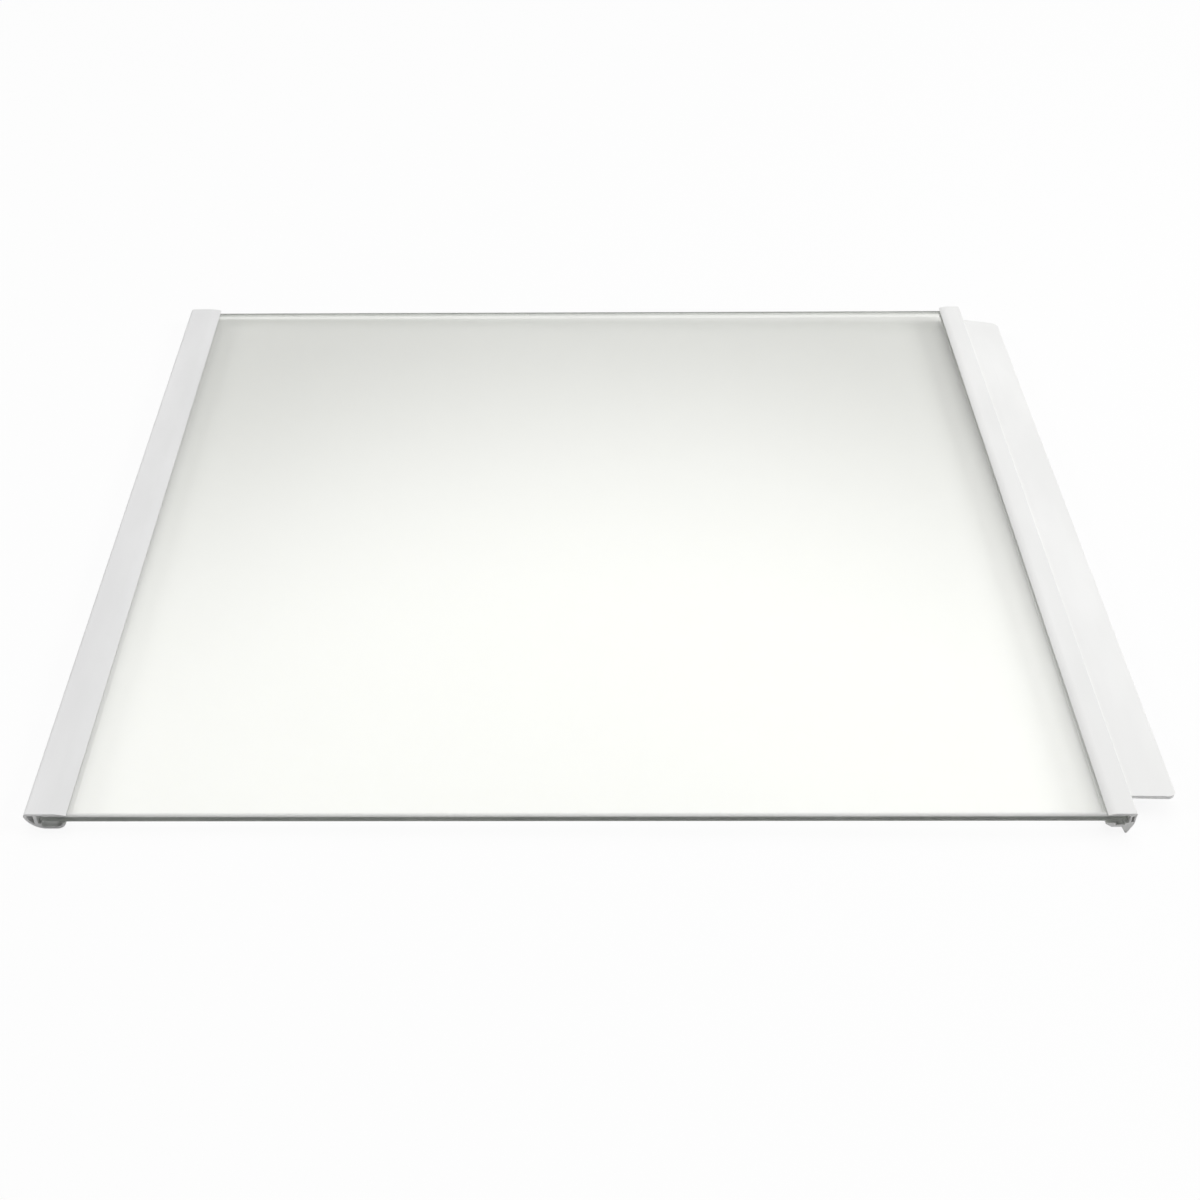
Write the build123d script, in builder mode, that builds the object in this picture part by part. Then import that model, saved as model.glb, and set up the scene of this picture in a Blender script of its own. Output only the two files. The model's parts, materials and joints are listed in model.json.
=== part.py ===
"""Fridge glass shelf: a toughened glass pane between two push-on plastic trims.

X runs from side to side in the fridge, along both trims. The front trim is at -Y and the rear trim at +Y.
The origin is the middle of the footprint, on the surface that the rear trim's drip leg stands on.
"""

import os
from math import cos, radians, sin

from build123d import *

# Glass pane
pane_width = 342.0
pane_depth = 397.0
glass_thickness = 4.0
glass_edge_round = 1.9
glass_corner_radius = 2.5

# Both trims: cut a little longer than the pane and flush with it at +X, and standing proud of the glass
trim_overhang = 1.0
trim_rise = 1.2
slot_clearance = 0.05
slot_end_gap = 0.3

# Front trim, an extrusion with a hollow nose
front_width = 15.8
front_height = 8.1
front_wall = 1.15
front_lip_fall = 5.2
front_lip_edge = 0.35
front_nose_drop = 1.5
front_nose_set_back = 1.5
front_belly_bulge = 1.5
front_bottom_start = 6.6
front_bottom_flat = 4.4
front_jaw_set_back = 0.9
front_rib = 1.3
front_slot_depth = 11.0
front_ledge = 1.0

# Rear trim, a clip with a drip leg and a small hollow behind the glass
rear_clip_width = 10.4
rear_height = 10.8
rear_lip_edge = 0.22
rear_lip_run = 3.4
rear_top_round = 0.5
rear_slot_depth = 8.3
rear_rib = 0.6
rear_back_wall = 0.5
rear_hollow_drop = 1.65
rear_hollow_height = 3.0
rear_jaw_height = 2.2
rear_jaw_edge = 0.5
rear_jaw_slope = 2.5
rear_jaw_round = 0.9
rear_relief_depth = 1.0
rear_relief_width = 3.6
rear_leg_root = 6.2
rear_leg_tip = 8.5
rear_leg_land = 0.7
rear_leg_round = 0.35
rear_wall_upright = 4.6

# Flange along the back of the rear trim, notched back at both ends
flange_width = 18.5
flange_thickness = 1.6
flange_step = 1.75
flange_droop = 6.0
flange_edge_round = 0.6
notch_length = 10.0
notch_rake = 1.2
notch_root_radius = 1.0
notch_corner_radius = 3.5

# Places that follow from the sizes
glass_top_z = rear_height - trim_rise
glass_bottom_z = glass_top_z - glass_thickness
front_engagement = front_slot_depth - slot_end_gap
rear_engagement = rear_slot_depth - slot_end_gap
bare_depth = pane_depth - front_engagement - rear_engagement
flange_reach = flange_width * cos(radians(flange_droop))
overall_depth = front_width + bare_depth + rear_clip_width + flange_reach
front_lip_y = front_width - overall_depth / 2
rear_lip_y = front_lip_y + bare_depth
pane_center_y = front_lip_y - front_engagement + pane_depth / 2
pane_center_x = trim_overhang / 2
trim_length = pane_width + trim_overhang
trim_start_x = -trim_length / 2

# The slot for the glass is the same in both trims
slot_top = slot_clearance
slot_bottom = -glass_thickness - slot_clearance
slot_height = slot_top - slot_bottom

# Sections are drawn across the trims, from the lip's inner edge and the top of the glass
front_plane = Plane(origin=(trim_start_x, front_lip_y, glass_top_z), x_dir=(0, 1, 0), z_dir=(1, 0, 0))
rear_plane = Plane(origin=(trim_start_x, rear_lip_y, glass_top_z), x_dir=(0, 1, 0), z_dir=(1, 0, 0))


def corner(section, point):
    """The section's corner nearest to a point."""
    return section.vertices().sort_by_distance(point)[0]


# Glass pane with pencil-round edges
with BuildPart() as glass_pane:
    with BuildSketch(Plane.XY.offset(glass_bottom_z)):
        with Locations((pane_center_x, pane_center_y)):
            RectangleRounded(pane_width, pane_depth, glass_corner_radius)
    extrude(amount=glass_thickness)
    fillet(glass_pane.faces().filter_by(Axis.Z).edges(), radius=glass_edge_round)


# Front trim: a boat-shaped hollow section, with a rib that stops the glass and a ledge that carries it
front_bottom = trim_rise - front_height
nose_tip = (-front_width, trim_rise - front_nose_drop)
nose_top = (front_nose_set_back - front_width, trim_rise)
lip_shoulder = (-front_lip_fall, trim_rise)
lip_tip = (0, front_lip_edge)
jaw_tip = (-front_jaw_set_back, slot_bottom)
bottom_front = (front_bottom_start - front_width, front_bottom)
bottom_rear = (front_bottom_start + front_bottom_flat - front_width, front_bottom)

with BuildPart() as front_trim:
    with BuildSketch(front_plane) as front_section:
        with BuildLine():
            Line(nose_top, lip_shoulder)
            TangentArc(lip_shoulder, lip_tip, tangent=(1, 0))
            Line(lip_tip, jaw_tip)
            TangentArc(bottom_rear, jaw_tip, tangent=(1, 0))
            Line(bottom_rear, bottom_front)
            SagittaArc(nose_tip, bottom_front, -front_belly_bulge)
            TangentArc(nose_top, nose_tip, tangent=(-1, 0))
        make_face()
        with BuildSketch(mode=Mode.PRIVATE) as front_hollow:
            add(front_section.sketch_local)
            offset(amount=-front_wall, mode=Mode.REPLACE)
            with Locations((0, slot_top)):
                Rectangle(2 * front_width, front_height, align=(Align.CENTER, Align.MIN), mode=Mode.SUBTRACT)
            with Locations((front_ledge - front_slot_depth, 0)):
                Rectangle(
                    front_rib + front_ledge,
                    2 * front_height,
                    align=(Align.MAX, Align.CENTER),
                    mode=Mode.SUBTRACT,
                )
        add(front_hollow.sketch_local, mode=Mode.SUBTRACT)
        with Locations((-front_slot_depth, slot_top)):
            Rectangle(2 * front_slot_depth, slot_height, align=(Align.MIN, Align.MAX), mode=Mode.SUBTRACT)
    extrude(amount=trim_length)


# Rear trim: a clip with a rounded lip, a sloping jaw, a hollow back and a drip leg, and a flange behind it
leg_tip_z = trim_rise - rear_height
jaw_bottom = slot_bottom - rear_jaw_height
flange_top = trim_rise - flange_step
flange_fall = flange_width * sin(radians(flange_droop))
lip_crest = (rear_lip_run, trim_rise)
top_edge = (rear_clip_width, trim_rise)
flange_root = (rear_clip_width, flange_top)
flange_edge = (rear_clip_width + flange_reach, flange_top - flange_fall)
flange_under_edge = (flange_edge[0], flange_edge[1] - flange_thickness)
flange_under_root = (rear_clip_width, flange_top - flange_thickness)
wall_knee = (rear_clip_width, -rear_wall_upright)
leg_tip_front = (rear_leg_tip - rear_leg_land / 2, leg_tip_z)
leg_tip_rear = (rear_leg_tip + rear_leg_land / 2, leg_tip_z)
leg_root = (rear_leg_root, jaw_bottom)
jaw_heel = (rear_jaw_slope, jaw_bottom)
jaw_edge = (0, slot_bottom - rear_jaw_edge)
hollow_corner = (rear_slot_depth + rear_rib, trim_rise - rear_hollow_drop)
hollow_width = rear_clip_width - rear_slot_depth - rear_rib - rear_back_wall
notched_half = trim_length / 2 - notch_length
cut_half = trim_length / 2 + notch_length

with BuildPart() as rear_trim:
    with BuildSketch(rear_plane) as rear_section:
        with BuildLine():
            TangentArc(lip_crest, (0, rear_lip_edge), tangent=(-1, 0))
            Polyline(lip_crest, top_edge, flange_root, flange_edge)
            Polyline(flange_edge, flange_under_edge, flange_under_root, wall_knee)
            Polyline(wall_knee, leg_tip_rear, leg_tip_front, leg_root, jaw_heel, jaw_edge, (0, rear_lip_edge))
        make_face()
        fillet(corner(rear_section, top_edge), radius=rear_top_round)
        fillet([corner(rear_section, p) for p in (flange_edge, flange_under_edge)], radius=flange_edge_round)
        fillet([corner(rear_section, p) for p in (jaw_heel, wall_knee)], radius=rear_jaw_round)
        fillet([corner(rear_section, p) for p in (leg_tip_front, leg_tip_rear)], radius=rear_leg_round)
        with Locations((rear_slot_depth, slot_top)):
            Rectangle(2 * rear_slot_depth, slot_height, align=(Align.MAX, Align.MAX), mode=Mode.SUBTRACT)
        with Locations((rear_slot_depth / 2 + rear_jaw_slope / 2, slot_bottom)):
            Rectangle(
                rear_relief_width,
                rear_relief_depth,
                align=(Align.CENTER, Align.MAX),
                mode=Mode.SUBTRACT,
            )
        with Locations(hollow_corner):
            Rectangle(hollow_width, rear_hollow_height, align=(Align.MIN, Align.MAX), mode=Mode.SUBTRACT)
    extrude(amount=trim_length)
    with BuildSketch(Plane((0, rear_lip_y + rear_clip_width, 0))):
        Rectangle(2 * cut_half, 2 * flange_width, align=(Align.CENTER, Align.MIN))
        with BuildSketch(mode=Mode.PRIVATE) as flange_plan:
            with BuildLine():
                Polyline(
                    (cut_half, 0),
                    (notched_half, 0),
                    (notched_half - notch_rake, flange_reach),
                    (notch_rake - notched_half, flange_reach),
                    (-notched_half, 0),
                    (-cut_half, 0),
                    (-cut_half, -notch_length),
                    (cut_half, -notch_length),
                    close=True,
                )
            make_face()
            for side in (1, -1):
                fillet(corner(flange_plan, (side * notched_half, 0)), radius=notch_root_radius)
                outer_corner = (side * (notched_half - notch_rake), flange_reach)
                fillet(corner(flange_plan, outer_corner), radius=notch_corner_radius)
        add(flange_plan.sketch_local, mode=Mode.SUBTRACT)
    extrude(amount=rear_height, mode=Mode.SUBTRACT)


os.makedirs("parts", exist_ok=True)

glass_pane.part.label = "glass_pane"
export_step(glass_pane.part, "parts/glass_pane.step")

front_trim.part.label = "front_trim"
export_step(front_trim.part, "parts/front_trim.step")

rear_trim.part.label = "rear_trim"
export_step(rear_trim.part, "parts/rear_trim.step")
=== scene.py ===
"""Looks of the fridge glass shelf: clear float glass between two satin white plastic trims, in a white studio."""

import json
from math import atan2, cos, pi, radians, sin

import bmesh
import bpy
from mathutils import Euler, Matrix, Vector

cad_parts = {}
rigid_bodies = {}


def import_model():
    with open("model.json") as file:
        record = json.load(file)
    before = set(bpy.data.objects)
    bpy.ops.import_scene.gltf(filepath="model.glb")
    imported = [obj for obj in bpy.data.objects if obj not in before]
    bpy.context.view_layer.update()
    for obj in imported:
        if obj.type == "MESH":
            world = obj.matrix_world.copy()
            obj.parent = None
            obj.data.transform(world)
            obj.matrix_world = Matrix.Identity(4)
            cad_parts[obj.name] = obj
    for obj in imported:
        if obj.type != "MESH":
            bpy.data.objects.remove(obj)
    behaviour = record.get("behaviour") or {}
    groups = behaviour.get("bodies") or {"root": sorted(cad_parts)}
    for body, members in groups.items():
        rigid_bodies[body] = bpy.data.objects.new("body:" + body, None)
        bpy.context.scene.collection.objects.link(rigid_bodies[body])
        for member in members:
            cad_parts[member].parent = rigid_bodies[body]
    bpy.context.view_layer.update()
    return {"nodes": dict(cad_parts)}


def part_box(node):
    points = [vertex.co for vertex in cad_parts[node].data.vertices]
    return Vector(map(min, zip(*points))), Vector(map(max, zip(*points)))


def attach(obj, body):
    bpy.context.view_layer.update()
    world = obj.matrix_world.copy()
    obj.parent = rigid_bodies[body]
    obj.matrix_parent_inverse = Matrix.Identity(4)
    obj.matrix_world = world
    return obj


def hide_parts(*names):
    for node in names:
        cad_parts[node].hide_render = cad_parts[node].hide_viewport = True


MM = 0.001
WHITE = (1.0, 1.0, 1.0, 1.0)

# Camera, solved from the shelf's own straight edges in the photograph
PHOTO_SIZE = 1200
FOCAL_PIXELS = 1537.0
OPTICAL_AXIS_X = 554.9
CAMERA_FROM_LIP = Vector((530.1, 183.1, 434.4)) * MM
CAMERA_PITCH = 42.45
CAMERA_YAW = 0.69
CAMERA_ROLL = -0.58
SENSOR_WIDTH = 36.0

# Light: glowing parts of the room, as heading from -X, elevation, cosines of edge and core, and power,
# and soft boxes beside the shelf, as heading from -X, elevation, distance, diameter and watts
ROOM_LIGHTS = (
    (3.0, 68.0, 0.795, 0.905, 1.62),
    (3.0, 62.0, 0.85, 0.97, 1.06),
    (180.0, 30.0, 0.9, 0.985, 0.8),
)
SOFT_BOXES = (
    (88.0, 33.0, 2.5, 1.06, 22.5),
    (-88.0, 33.0, 2.5, 1.06, 14.2),
    (84.0, 45.0, 0.71, 0.45, 0.4),
)

# Pale walls that show only in reflections, away from -X or low: strength, and cosines or sines where they end
WALLS_SEEN_IN_GLASS = 0.75
WALLS_BESIDE = (0.15, 0.5)
WALLS_LOW = (0.34, 0.47)

# Floor
FLOOR_REACH = 4.0
FLOOR_CLEARANCE = 0.02 * MM
PAPER_DARK = (0.86, 0.86, 0.86, 1.0)
PAPER_LIGHT = (0.9, 0.9, 0.9, 1.0)
PAPER_FIBRE_SCALE = 900.0
FLOOR_WHITE_SEEN = 0.9
FLOOR_WHITE_THROUGH_GLASS = 0.18

# Glass pane
GLASS_CORNER_RADIUS = 2.5 * MM
GLASS_EDGE_ROUND = 1.9 * MM
GLASS_FLAT_MARGIN = 0.3 * MM
GLASS_ROUND_STEPS = 10
GLASS_CORNER_STEPS = 12
GLASS_IOR = 1.52
GLASS_LIGHT_PASSED = (0.958, 0.96, 0.955, 1.0)
GLASS_TINT = (0.985, 0.99, 0.955, 1.0)
GLASS_SMEAR_SCALE = (14.0, 9.0, 14.0)
GLASS_SMEAR_ROUGHNESS = 0.03

# Ground edge of the pane, which covers its round between two slopes
GROUND_FROM = radians(82.0)
GROUND_TO = radians(-91.0)
GROUND_LIGHT_PASSED = (0.72, 0.74, 0.71, 1.0)
GROUND_DARK = (0.29, 0.31, 0.285, 1.0)
GROUND_LIGHT = (0.37, 0.39, 0.36, 1.0)
GROUND_SCRATCH = (0.5, 0.52, 0.49, 1.0)
# Painted light: the arrises are painted whiter than the side of the edge, the upper arris most, as light from above
# would show them
ARRIS_PAINTED_LIGHT_BELOW = (0.78, 0.79, 0.77, 1.0)
ARRIS_PAINTED_LIGHT_ABOVE = (0.93, 0.93, 0.92, 1.0)
ARRIS_FROM_FACE = 1.8 * MM
GROUND_TRANSMISSION = 0.5
GROUND_SCRATCH_SCALE = (250.0, 250.0, 6000.0)
GROUND_CLOUD_SCALE = 45.0
GROUND_GRAIN_SCALE = 4000.0
GROUND_BUMP_DEPTH = 0.02 * MM

# Trims
WELD_DISTANCE = 0.001 * MM
PLANAR_ANGLE = radians(0.5)
TRIM_EDGE_BEVEL = 0.18 * MM
TRIM_BEVEL_SEGMENTS = 2
TRIM_BEVEL_ANGLE = radians(32.0)
# The rear trim's plastic is set lighter than the front trim's
FRONT_TONE = (0.805, 0.805, 0.805)
REAR_TONE = (0.855, 0.855, 0.847)
PLASTIC_IOR = 1.34
PLASTIC_ROUGHNESS = (0.6, 0.72)
SAWN_END_ROUGHNESS = 0.2
SAW_MARK_DEPTH = 14.0
DIE_LINE_SCALE = (5.0, 1800.0, 1800.0)
MOTTLE_SCALE = (12.0, 40.0, 40.0)
PLASTIC_GRAIN_SCALE = 2600.0
SAW_SCALE = (200.0, 350.0, 2800.0)
PLASTIC_BUMP_DEPTH = 0.012 * MM

for leftover in list(bpy.data.objects):
    bpy.data.objects.remove(leftover)

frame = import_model()
scene = bpy.context.scene
glass_low, glass_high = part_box("glass_pane")
_, front_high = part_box("front_trim")


def add_object(name, mesh):
    """A new object in the scene's collection."""
    piece = bpy.data.objects.new(name, mesh)
    scene.collection.objects.link(piece)
    return piece


class Nodes:
    """A short way to write a node tree: each call adds a node and sets or links its inputs."""

    def __init__(self, owner):
        owner.use_nodes = True
        self.tree = owner.node_tree
        self.tree.nodes.clear()

    def add(self, kind, inputs=None, **settings):
        made = self.tree.nodes.new(kind)
        for key, value in settings.items():
            setattr(made, key, value)
        for key, value in (inputs or {}).items():
            self.feed(made.inputs[key], value)
        return made

    def feed(self, socket, value):
        if isinstance(value, bpy.types.NodeSocket):
            self.tree.links.new(value, socket)
        else:
            socket.default_value = value

    def math(self, operation, a, b=0.0, c=0.0):
        return self.add("ShaderNodeMath", {0: a, 1: b, 2: c}, operation=operation).outputs[0]

    def ramp(self, value, low, high, to_low=0.0, to_high=1.0):
        inputs = {"Value": value, "From Min": low, "From Max": high, "To Min": to_low, "To Max": to_high}
        return self.add("ShaderNodeMapRange", inputs, interpolation_type="SMOOTHSTEP").outputs["Result"]

    def mix(self, factor, a, b):
        # The colour sockets come after those for numbers and vectors
        return self.add("ShaderNodeMix", data_type="RGBA", inputs={0: factor, 6: a, 7: b}).outputs[2]

    def noise(self, vector, scale, detail, roughness=0.5):
        inputs = {"Vector": vector, "Scale": scale, "Detail": detail, "Roughness": roughness}
        return self.add("ShaderNodeTexNoise", inputs).outputs["Fac"]

    def stretched_noise(self, vector, scale, detail, roughness=0.5):
        stretched = self.add("ShaderNodeMapping", {"Vector": vector, "Scale": scale}).outputs["Vector"]
        return self.noise(stretched, 1.0, detail, roughness)

    def split(self, vector):
        return self.add("ShaderNodeSeparateXYZ", {"Vector": vector}).outputs


def shade(tone, share):
    """A tone made lighter or darker, as a colour with alpha."""
    return [c * share for c in tone] + [1.0]


def plastic_material(name, tone):
    """Satin white extruded plastic: die lines along the trim, faint mottling, and saw marks on the cut ends."""
    material = bpy.data.materials.new(name)
    n = Nodes(material)
    where = n.add("ShaderNodeTexCoord").outputs
    die_lines = n.stretched_noise(where["Object"], DIE_LINE_SCALE, 3.0)
    mottle = n.stretched_noise(where["Object"], MOTTLE_SCALE, 3.0)
    grain = n.noise(where["Object"], PLASTIC_GRAIN_SCALE, 2.0)
    facing_end = n.ramp(n.math("ABSOLUTE", n.split(where["Normal"])["X"]), 0.8, 0.95)
    saw = n.stretched_noise(where["Object"], SAW_SCALE, 2.0)

    colour = n.mix(n.ramp(mottle, 0.3, 0.7), shade(tone, 0.955), shade(tone, 1.015))
    in_die_line = n.math("MULTIPLY", n.ramp(die_lines, 0.55, 0.8), 0.25)
    colour = n.mix(in_die_line, colour, shade(tone, 0.93))
    # The cut ends are painted slightly darker: partly their sawn surface, partly painted shade
    colour = n.mix(n.math("MULTIPLY", facing_end, 0.6), colour, shade(tone, 0.95))

    roughness = n.ramp(die_lines, 0.25, 0.75, *PLASTIC_ROUGHNESS)
    roughness = n.math("MULTIPLY_ADD", facing_end, SAWN_END_ROUGHNESS, roughness)
    height = n.math("MULTIPLY_ADD", grain, 0.35, die_lines)
    height = n.math("MULTIPLY_ADD", n.math("MULTIPLY", saw, facing_end), SAW_MARK_DEPTH, height)
    bump = n.add("ShaderNodeBump", {"Strength": 0.5, "Distance": PLASTIC_BUMP_DEPTH, "Height": height})
    surface = n.add("ShaderNodeBsdfPrincipled", {
        "Base Color": colour, "Roughness": roughness, "IOR": PLASTIC_IOR, "Normal": bump.outputs["Normal"]})
    n.add("ShaderNodeOutputMaterial", {"Surface": surface.outputs[0]})
    return material


def let_light_through(n, surface, share):
    """Ends a glass material so that lamps and bounced light pass straight to what is under the pane."""
    clear = n.add("ShaderNodeBsdfTransparent", {"Color": share})
    ray = n.add("ShaderNodeLightPath").outputs
    lamps = n.add("ShaderNodeMixShader", {0: ray["Is Shadow Ray"], 1: surface.outputs[0], 2: clear.outputs[0]})
    bounces = n.add("ShaderNodeMixShader", {0: ray["Is Diffuse Ray"], 1: lamps.outputs[0], 2: clear.outputs[0]})
    n.add("ShaderNodeOutputMaterial", {"Surface": bounces.outputs[0]})


def glass_material():
    """Clear float glass with a faint yellow-green depth tint and the last smears of a wiped surface."""
    material = bpy.data.materials.new("clear_float_glass")
    n = Nodes(material)
    where = n.add("ShaderNodeTexCoord").outputs
    smear = n.stretched_noise(where["Object"], GLASS_SMEAR_SCALE, 4.0, 0.6)
    roughness = n.ramp(smear, 0.45, 0.8, 0.0, GLASS_SMEAR_ROUGHNESS)
    surface = n.add("ShaderNodeBsdfPrincipled", {
        "Base Color": GLASS_TINT, "Roughness": roughness, "IOR": GLASS_IOR, "Transmission Weight": 1.0})
    let_light_through(n, surface, GLASS_LIGHT_PASSED)
    return material


def ground_edge_material():
    """The pane's ground edge: grey-green, half clear, with painted light on both arrises, brightest on the upper one,
    and the wheel's scratches along it.
    """
    material = bpy.data.materials.new("ground_glass_edge")
    n = Nodes(material)
    where = n.add("ShaderNodeTexCoord").outputs
    scratches = n.stretched_noise(where["Object"], GROUND_SCRATCH_SCALE, 3.0)
    clouding = n.noise(where["Object"], GROUND_CLOUD_SCALE, 3.0)
    grain = n.noise(where["Object"], GROUND_GRAIN_SCALE, 2.0)
    lying_flat = n.math("ABSOLUTE", n.split(where["Normal"])["Z"])
    height_up = n.split(where["Object"])["Z"]
    upper_half = n.ramp(height_up, glass_low.z + ARRIS_FROM_FACE, glass_high.z - ARRIS_FROM_FACE)

    colour = n.mix(n.ramp(clouding, 0.3, 0.7), GROUND_DARK, GROUND_LIGHT)
    in_scratch = n.math("MULTIPLY", n.ramp(scratches, 0.5, 0.75), 0.4)
    colour = n.mix(in_scratch, colour, GROUND_SCRATCH)
    # Painted light: the rounds near both faces are painted whiter than the side of the edge, the upper arris whiter
    # than the lower
    painted_lit_arris = n.mix(upper_half, ARRIS_PAINTED_LIGHT_BELOW, ARRIS_PAINTED_LIGHT_ABOVE)
    colour = n.mix(n.ramp(lying_flat, 0.52, 0.66), colour, painted_lit_arris)

    roughness = n.ramp(scratches, 0.3, 0.7, 0.45, 0.6)
    relief = n.math("MULTIPLY_ADD", grain, 0.5, scratches)
    bump = n.add("ShaderNodeBump", {"Strength": 0.4, "Distance": GROUND_BUMP_DEPTH, "Height": relief})
    surface = n.add("ShaderNodeBsdfPrincipled", {
        "Base Color": colour, "Roughness": roughness, "IOR": GLASS_IOR,
        "Transmission Weight": GROUND_TRANSMISSION, "Normal": bump.outputs["Normal"]})
    let_light_through(n, surface, GROUND_LIGHT_PASSED)
    return material


def floor_material():
    """Matt white paper, shown nearly white to the camera and partly so through the glass."""
    material = bpy.data.materials.new("white_paper")
    n = Nodes(material)
    where = n.add("ShaderNodeTexCoord").outputs
    fibre = n.noise(where["Object"], PAPER_FIBRE_SCALE, 3.0)
    colour = n.mix(fibre, PAPER_DARK, PAPER_LIGHT)
    paper = n.add("ShaderNodeBsdfDiffuse", {"Color": colour})
    white = n.add("ShaderNodeEmission", {"Color": WHITE, "Strength": 1.0})
    ray = n.add("ShaderNodeLightPath").outputs
    seen = n.math("MULTIPLY", ray["Is Camera Ray"], FLOOR_WHITE_SEEN)
    seen = n.math("MULTIPLY_ADD", ray["Is Transmission Ray"], FLOOR_WHITE_THROUGH_GLASS, seen)
    mixed = n.add("ShaderNodeMixShader", {0: seen, 1: paper.outputs[0], 2: white.outputs[0]})
    n.add("ShaderNodeOutputMaterial", {"Surface": mixed.outputs[0]})
    return material


def glass_mesh():
    """The pane as rings round its outline, from the top edge of the pencil round to the bottom edge."""
    half = (glass_high - glass_low) / 2
    middle = (glass_high + glass_low) / 2
    mesh = bmesh.new()

    def ring(inset, z):
        radius = GLASS_CORNER_RADIUS - inset
        points = []
        for corner, (sx, sy) in enumerate(((1, 1), (-1, 1), (-1, -1), (1, -1))):
            centre_x = middle.x + sx * (half.x - GLASS_CORNER_RADIUS)
            centre_y = middle.y + sy * (half.y - GLASS_CORNER_RADIUS)
            for step in range(GLASS_CORNER_STEPS + 1):
                angle = (corner + step / GLASS_CORNER_STEPS) * pi / 2
                points.append(mesh.verts.new((centre_x + radius * cos(angle), centre_y + radius * sin(angle), z)))
        return points

    rings = []
    slopes = []
    for top, sign in ((True, 1), (False, -1)):
        centre_z = middle.z + sign * (half.z - GLASS_EDGE_ROUND)
        steps = range(GLASS_ROUND_STEPS + 1)
        for step in (steps if top else reversed(steps)):
            angle = pi / 2 * (1 - step / GLASS_ROUND_STEPS)
            inset = GLASS_EDGE_ROUND * (1 - cos(angle))
            rings.append(ring(inset, centre_z + sign * GLASS_EDGE_ROUND * sin(angle)))
            slopes.append(sign * angle)
    rings.insert(0, ring(GLASS_EDGE_ROUND + GLASS_FLAT_MARGIN, glass_high.z))
    rings.append(ring(GLASS_EDGE_ROUND + GLASS_FLAT_MARGIN, glass_low.z))
    slopes = [pi] + slopes + [-pi]
    count = len(rings[0])
    for level, (upper, lower) in enumerate(zip(rings, rings[1:])):
        ground = slopes[level] <= GROUND_FROM and slopes[level + 1] >= GROUND_TO
        for i in range(count):
            j = (i + 1) % count
            side = mesh.faces.new((upper[i], lower[i], lower[j], upper[j]))
            side.smooth = True
            side.material_index = int(ground)
    mesh.faces.new(rings[0])
    mesh.faces.new(reversed(rings[-1]))
    data = bpy.data.meshes.new("glass_pane_clear")
    mesh.to_mesh(data)
    mesh.free()
    return data


def dress_glass():
    """The clear pane that stands for the CAD pane."""
    pane = add_object("glass_pane_clear", glass_mesh())
    pane.data.materials.append(glass_material())
    pane.data.materials.append(ground_edge_material())
    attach(pane, "root")
    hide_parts("glass_pane")


def dress_trim(node, material):
    """Softens the extrusion's sharp edges and gives it its plastic."""
    trim = frame["nodes"][node]
    weld = trim.modifiers.new("weld", "WELD")
    weld.merge_threshold = WELD_DISTANCE
    planar = trim.modifiers.new("planar", "DECIMATE")
    planar.decimate_type = "DISSOLVE"
    planar.angle_limit = PLANAR_ANGLE
    bevel = trim.modifiers.new("bevel", "BEVEL")
    bevel.width = TRIM_EDGE_BEVEL
    bevel.segments = TRIM_BEVEL_SEGMENTS
    bevel.limit_method = "ANGLE"
    bevel.angle_limit = TRIM_BEVEL_ANGLE
    shading = trim.modifiers.new("shading", "WEIGHTED_NORMAL")
    shading.mode = "FACE_AREA"
    shading.weight = 100
    trim.data.materials.clear()
    trim.data.materials.append(material)


def lowest_point(node):
    """The lowest vertex of a CAD node."""
    return min((v.co for v in frame["nodes"][node].data.vertices), key=lambda p: p.z)


def add_floor():
    """A floor that both trims stand on: the drip leg reaches lower than the front trim."""
    leg = lowest_point("rear_trim")
    belly = lowest_point("front_trim")
    data = bpy.data.meshes.new("floor")
    corners = [(sx * FLOOR_REACH, sy * FLOOR_REACH, 0) for sx, sy in ((-1, -1), (1, -1), (1, 1), (-1, 1))]
    data.from_pydata(corners, [], [(0, 1, 2, 3)])
    data.materials.append(floor_material())
    floor = add_object("floor", data)
    slope = (belly.z - leg.z) / (belly.y - leg.y)
    floor.location = (0, leg.y, leg.z - FLOOR_CLEARANCE)
    floor.rotation_euler = (atan2(slope, 1.0), 0, 0)


def heading_vector(heading, elevation):
    """The direction at a heading from -X towards +Y, and at an elevation."""
    flat = cos(radians(elevation))
    return Vector((-flat * cos(radians(heading)), flat * sin(radians(heading)), sin(radians(elevation))))


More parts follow.
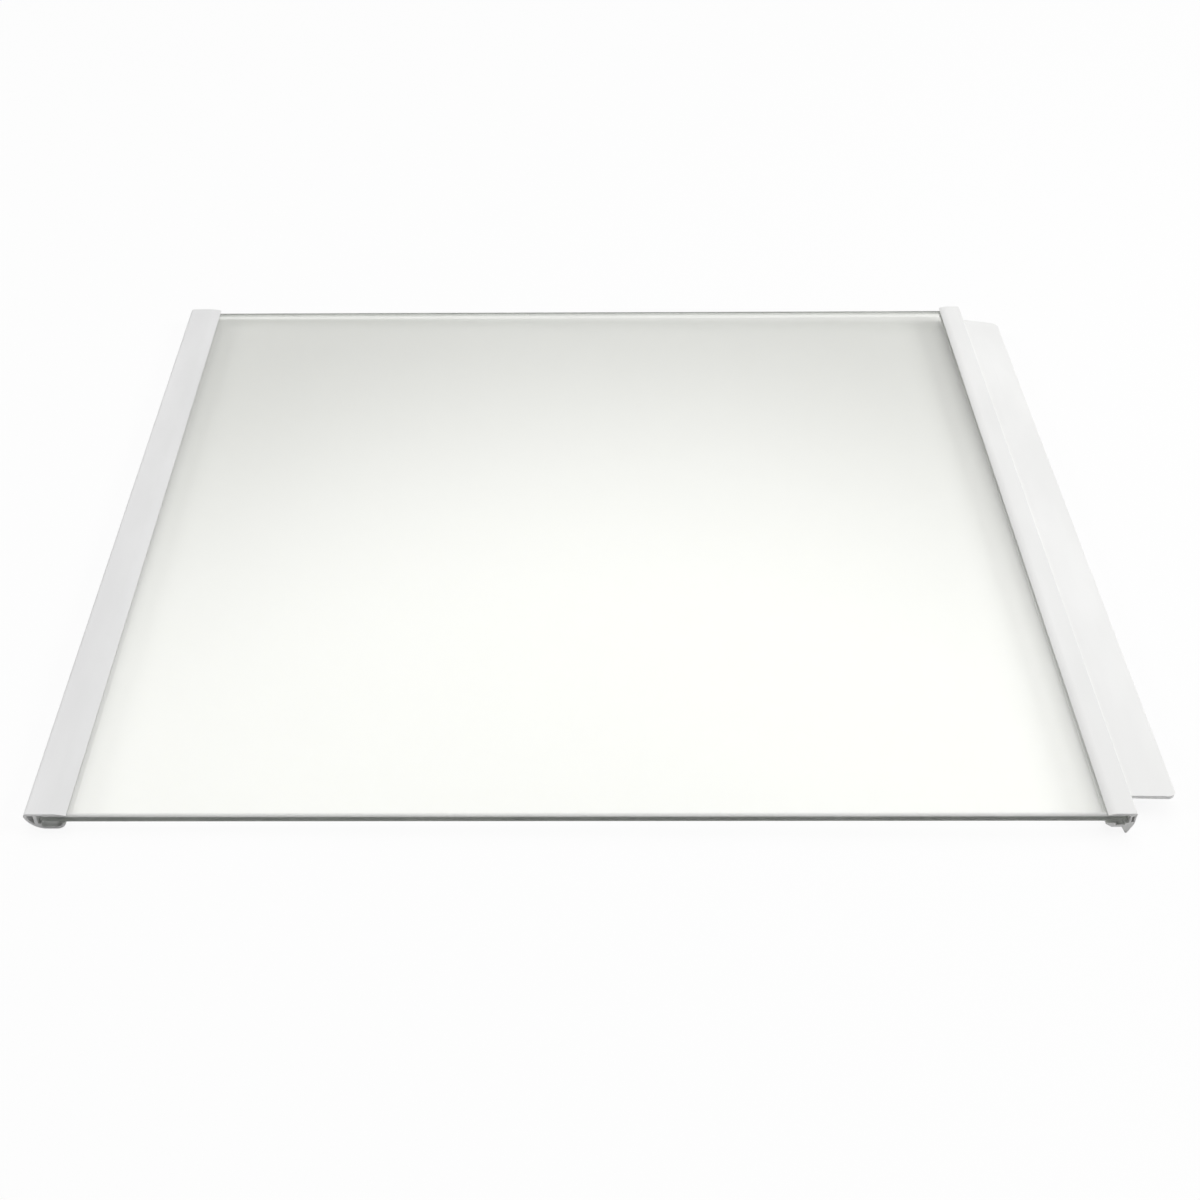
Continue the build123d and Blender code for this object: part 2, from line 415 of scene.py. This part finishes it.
def add_world():
    """A dim room, lit high at the far end and weakly at the near end. Its pale walls only show in reflections."""
    world = bpy.data.worlds.new("studio")
    scene.world = world
    n = Nodes(world)
    direction = n.add("ShaderNodeTexCoord").outputs["Generated"]
    ray = n.add("ShaderNodeLightPath").outputs

    def toward(vector):
        return n.add("ShaderNodeVectorMath", {0: direction, 1: vector}, operation="DOT_PRODUCT").outputs["Value"]

    beside = n.ramp(toward((-1.0, 0.0, 0.0)), *WALLS_BESIDE, 1.0, 0.0)
    low = n.ramp(toward((0.0, 0.0, 1.0)), *WALLS_LOW, 1.0, 0.0)
    walls = n.math("MULTIPLY", n.math("MAXIMUM", beside, low), WALLS_SEEN_IN_GLASS)
    strength = n.math("MULTIPLY", walls, ray["Is Glossy Ray"])
    for heading, elevation, edge, core, power in ROOM_LIGHTS:
        glow = n.ramp(toward(heading_vector(heading, elevation)), edge, core, 0.0, power)
        strength = n.math("ADD", strength, glow)
    light = n.add("ShaderNodeBackground", {"Color": WHITE, "Strength": strength})
    white = n.add("ShaderNodeBackground", {"Color": WHITE, "Strength": 1.0})
    mixed = n.add("ShaderNodeMixShader", {0: ray["Is Camera Ray"], 1: light.outputs[0], 2: white.outputs[0]})
    n.add("ShaderNodeOutputWorld", {"Surface": mixed.outputs[0]})


def add_soft_boxes():
    """Round soft boxes beside both trims, and a weak one near the rear trim, none of them mirrored in the glass."""
    for number, (heading, elevation, distance, diameter, watts) in enumerate(SOFT_BOXES):
        lamp = bpy.data.lights.new(f"soft_box_{number}", "AREA")
        lamp.shape = "DISK"
        lamp.size = diameter
        lamp.energy = watts
        box = add_object(lamp.name, lamp)
        direction = heading_vector(heading, elevation)
        aim = direction.to_track_quat("Z", "Y").to_matrix().to_4x4()
        box.matrix_world = Matrix.Translation(direction * distance) @ aim
        box.visible_glossy = False
        box.visible_transmission = False


def add_camera():
    """The photograph's view: from the right-hand side of the shelf, looking down along it."""
    lens = bpy.data.cameras.new("camera")
    lens.sensor_width = SENSOR_WIDTH
    lens.lens = FOCAL_PIXELS / PHOTO_SIZE * SENSOR_WIDTH
    lens.shift_x = 0.5 - OPTICAL_AXIS_X / PHOTO_SIZE
    lens.clip_start = 0.01
    camera = add_object("camera", lens)
    front_lip = Vector((0, front_high.y, glass_high.z))
    turn = Euler((radians(90 - CAMERA_PITCH), 0, radians(90 + CAMERA_YAW))).to_matrix()
    turn = turn @ Matrix.Rotation(radians(CAMERA_ROLL), 3, "Z")
    camera.matrix_world = Matrix.Translation(front_lip + CAMERA_FROM_LIP) @ turn.to_4x4()
    scene.camera = camera


dress_glass()
dress_trim("front_trim", plastic_material("front_plastic", FRONT_TONE))
dress_trim("rear_trim", plastic_material("rear_plastic", REAR_TONE))
add_floor()
add_world()
add_soft_boxes()
add_camera()

scene.view_settings.view_transform = "Standard"
